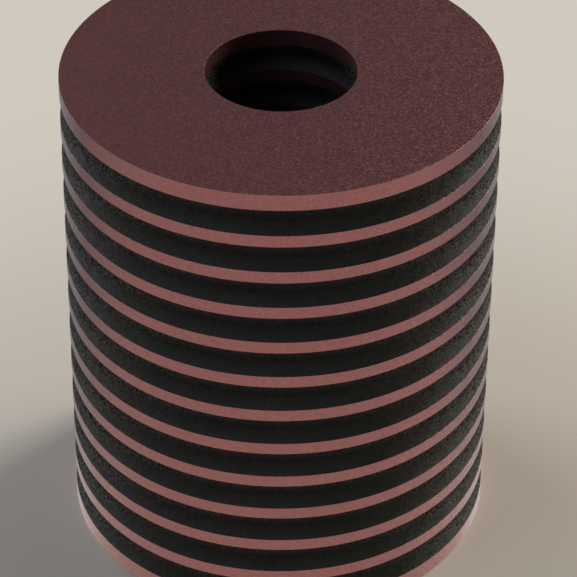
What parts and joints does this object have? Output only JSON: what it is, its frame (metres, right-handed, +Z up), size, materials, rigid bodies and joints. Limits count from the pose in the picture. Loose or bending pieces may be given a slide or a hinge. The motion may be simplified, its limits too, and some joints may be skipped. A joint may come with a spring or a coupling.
{
  "type": "laminated rubber spring",
  "caption": "Round laminated spring: flat steel ring plates with rubber layers bonded between them around an open centre bore.",
  "frame": {"origin": "centre of the bore in the plane of the bottom end plate's underside, where the spring stands", "axes": "+Z up the bore, from the bottom end plate to the top end plate; X and Y are any pair square to it, since the part is round"},
  "size_m": [0.2, 0.2, 0.238],
  "materials": {
    "plate_steel": "satin",
    "rubber": "matte"
  },
  "bodies": {
    "root": {"bottom_end_plate": "plate_steel", "rubber_layer_01": "rubber", "rubber_layer_02": "rubber", "rubber_layer_03": "rubber", "rubber_layer_04": "rubber", "rubber_layer_05": "rubber", "rubber_layer_06": "rubber", "rubber_layer_07": "rubber", "rubber_layer_08": "rubber", "rubber_layer_09": "rubber", "rubber_layer_10": "rubber", "rubber_layer_11": "rubber", "rubber_layer_12": "rubber", "inner_plate_01": "plate_steel", "inner_plate_02": "plate_steel", "inner_plate_03": "plate_steel", "inner_plate_04": "plate_steel", "inner_plate_05": "plate_steel", "inner_plate_06": "plate_steel", "inner_plate_07": "plate_steel", "inner_plate_08": "plate_steel", "inner_plate_09": "plate_steel", "inner_plate_10": "plate_steel", "inner_plate_11": "plate_steel", "top_end_plate": "plate_steel"}
  },
  "joints": []
}
